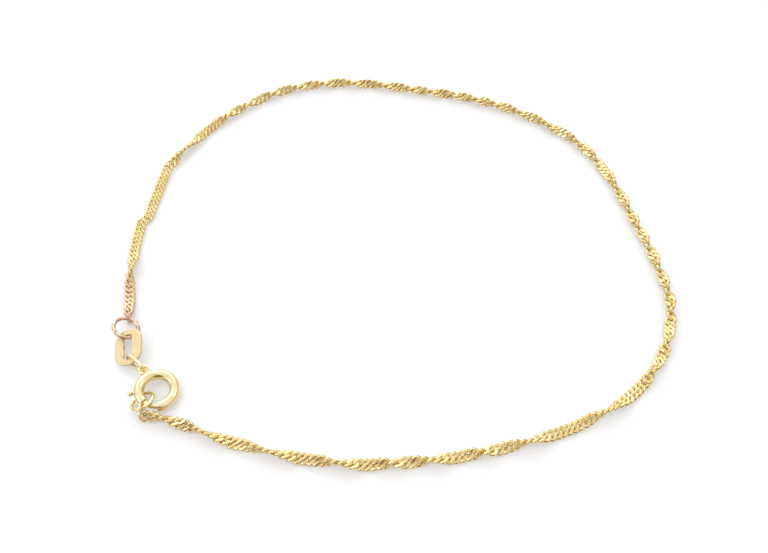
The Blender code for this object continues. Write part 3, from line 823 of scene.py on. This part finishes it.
def rounded_outline(half_width, half_length, corner, height):
    """Rounded rectangle in a plane, the same number of points for any size."""
    sides = []
    for across, along, start in ((1, 1, 0), (-1, 1, 90), (-1, -1, 180), (1, -1, 270)):
        middle = np.array([across * (half_width - corner), along * (half_length - corner), height])
        sides.append(middle + arc(corner, start, start + 90, CORNER_STEPS))
    return np.vstack(sides)


def build_tag(satin, tarnished):
    """Flat plate with rounded ends and one long slot, its edges rounded, and painted shade on the slot's
    wall, which takes the tarnished gold's brown.
    """
    def outer(inset, height):
        return rounded_outline(TAG_HALF_WIDTH - inset, TAG_HALF_LENGTH - inset, TAG_CORNER - inset, height)

    def slot(outset, height):
        outline = rounded_outline(TAG_SLOT_HALF_WIDTH + outset, TAG_SLOT_HALF_LENGTH + outset,
                                  TAG_SLOT_CORNER + outset, height)
        return outline + [TAG_SLOT_OFFSET, 0, 0]

    turns = np.linspace(0, math.pi / 2, EDGE_STEPS + 1)
    edge = [(TAG_EDGE_SUPPORT, 0.0)] + [(1 - math.sin(turn), 1 - math.cos(turn)) for turn in turns]
    rows = (outer, 1, edge), (outer, -1, edge[::-1]), (slot, -1, edge), (slot, 1, edge[::-1])
    loops = [outline(share * TAG_EDGE, up * (TAG_HALF_THICKNESS - drop * TAG_EDGE))
             for outline, up, steps in rows for share, drop in steps]
    count = len(loops[0])
    turn = Matrix.Rotation(math.radians(TAG_TURN_DEG), 4, "Z")
    tilt = Matrix.Rotation(-math.radians(TAG_TILT_DEG), 4, "Y")
    frame = Matrix.Translation(box_middle("tag_link")) @ turn @ tilt
    mesh = mesh_from_arrays("tag_plate", placed(frame, np.vstack(loops)), wire_faces(len(loops), count))
    # Painted shade: the slot's wall faces take the tarnished gold, a brown that stands in for the shade
    # inside the slot.
    wall_start, wall_end = 2 * len(edge) + 2, 4 * len(edge) - 3
    wall = np.zeros(len(mesh.polygons), np.int32)
    wall[wall_start * count:wall_end * count] = 1
    mesh.materials.append(satin)
    mesh.materials.append(tarnished)
    mesh.polygons.foreach_set("material_index", wall)
    ride_part("tag_plate", mesh, None, "tag_link")


def build_floor():
    """Plain pale floor."""
    bpy.ops.mesh.primitive_plane_add(size=FLOOR_SIZE)
    floor = bpy.context.object
    floor.name = "floor"
    material = bpy.data.materials.new("floor")
    material.use_nodes = True
    shader = material.node_tree.nodes["Principled BSDF"]
    shader.inputs["Base Color"].default_value = (*FLOOR_COLOUR, 1)
    shader.inputs["Roughness"].default_value = FLOOR_ROUGHNESS
    shader.inputs["Specular IOR Level"].default_value = FLOOR_SPECULAR
    shader.inputs["Emission Color"].default_value = (1, 1, 1, 1)
    shader.inputs["Emission Strength"].default_value = FLOOR_GLOW
    floor.data.materials.append(material)


def facing(nodes, links, way, wanted):
    """Cosine of the angle between the way into the world's light and a wanted direction."""
    dot = nodes.new("ShaderNodeVectorMath")
    dot.operation = "DOT_PRODUCT"
    dot.inputs[1].default_value = Vector(wanted).normalized()
    links.new(way, dot.inputs[0])
    return dot.outputs["Value"]


def build_tent():
    """White tent, dim at the horizon, brightest on the far side, with a dark opening on the camera's side."""
    world = bpy.data.worlds.new("studio")
    bpy.context.scene.world = world
    world.use_nodes = True
    nodes, links = world.node_tree.nodes, world.node_tree.links
    background = nodes["Background"]
    way = nodes.new("ShaderNodeTexCoord").outputs["Generated"]

    split = nodes.new("ShaderNodeSeparateXYZ")
    tent = nodes.new("ShaderNodeValToRGB")
    horizon, white = tent.color_ramp.elements
    horizon.position = 0.0
    horizon.color = (*TENT_HORIZON, 1)
    white.position = TENT_WHITE_FROM
    white.color = (1, 1, 1, 1)
    links.new(way, split.inputs["Vector"])
    links.new(split.outputs["Z"], tent.inputs["Fac"])

    opening = nodes.new("ShaderNodeMapRange")
    opening.interpolation_type = "SMOOTHSTEP"
    opening.inputs["From Min"].default_value = math.cos(math.radians(OPENING_OUTER_DEG))
    opening.inputs["From Max"].default_value = math.cos(math.radians(OPENING_INNER_DEG))
    dim = nodes.new("ShaderNodeMix")
    dim.data_type = "RGBA"
    dim.inputs["B"].default_value = (*OPENING_COLOUR, 1)
    links.new(facing(nodes, links, way, OPENING_DIRECTION), opening.inputs["Value"])
    links.new(opening.outputs["Result"], dim.inputs["Factor"])
    links.new(tent.outputs["Color"], dim.inputs["A"])
    links.new(dim.outputs["Result"], background.inputs["Color"])

    strength = nodes.new("ShaderNodeMapRange")
    strength.inputs["From Min"].default_value = BRIGHT_FROM
    strength.inputs["To Min"].default_value = TENT_STRENGTH
    strength.inputs["To Max"].default_value = BRIGHT_STRENGTH
    links.new(facing(nodes, links, way, BRIGHT_DIRECTION), strength.inputs["Value"])
    links.new(strength.outputs["Result"], background.inputs["Strength"])


def build_lamps():
    """Two small lamps for glints."""
    for name, place, size, power in LAMPS:
        lamp = bpy.data.lights.new(name, "AREA")
        lamp.size = size
        lamp.energy = power
        thing = bpy.data.objects.new(name, lamp)
        thing.location = place
        thing.rotation_euler = (-Vector(place)).to_track_quat("-Z", "Y").to_euler()
        bpy.context.scene.collection.objects.link(thing)


def build_camera():
    """Camera at the photograph's angle, with plain tones."""
    camera = bpy.data.cameras.new("camera")
    camera.sensor_width = SENSOR
    camera.lens = LENS
    camera.clip_start = CAMERA_NEAREST
    thing = bpy.data.objects.new("camera", camera)
    thing.location = CAMERA_PLACE
    thing.rotation_euler = (math.radians(90 - CAMERA_DOWN_DEG), 0, 0)
    bpy.context.scene.collection.objects.link(thing)
    bpy.context.scene.camera = thing
    bpy.context.scene.view_settings.view_transform = "Standard"


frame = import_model()
gold = polished_gold()
satin = satin_gold()
# The tarnished gold is the jump ring's real tarnish and, on the tag's slot wall, painted shade.
tarnished = tarnish_and_slot_shade_gold()
build_chain_links(chain_gold())
build_rings(gold, tarnished)
build_clasp(gold)
build_connector(gold)
build_tag(satin, tarnished)
build_floor()
build_tent()
build_lamps()
build_camera()
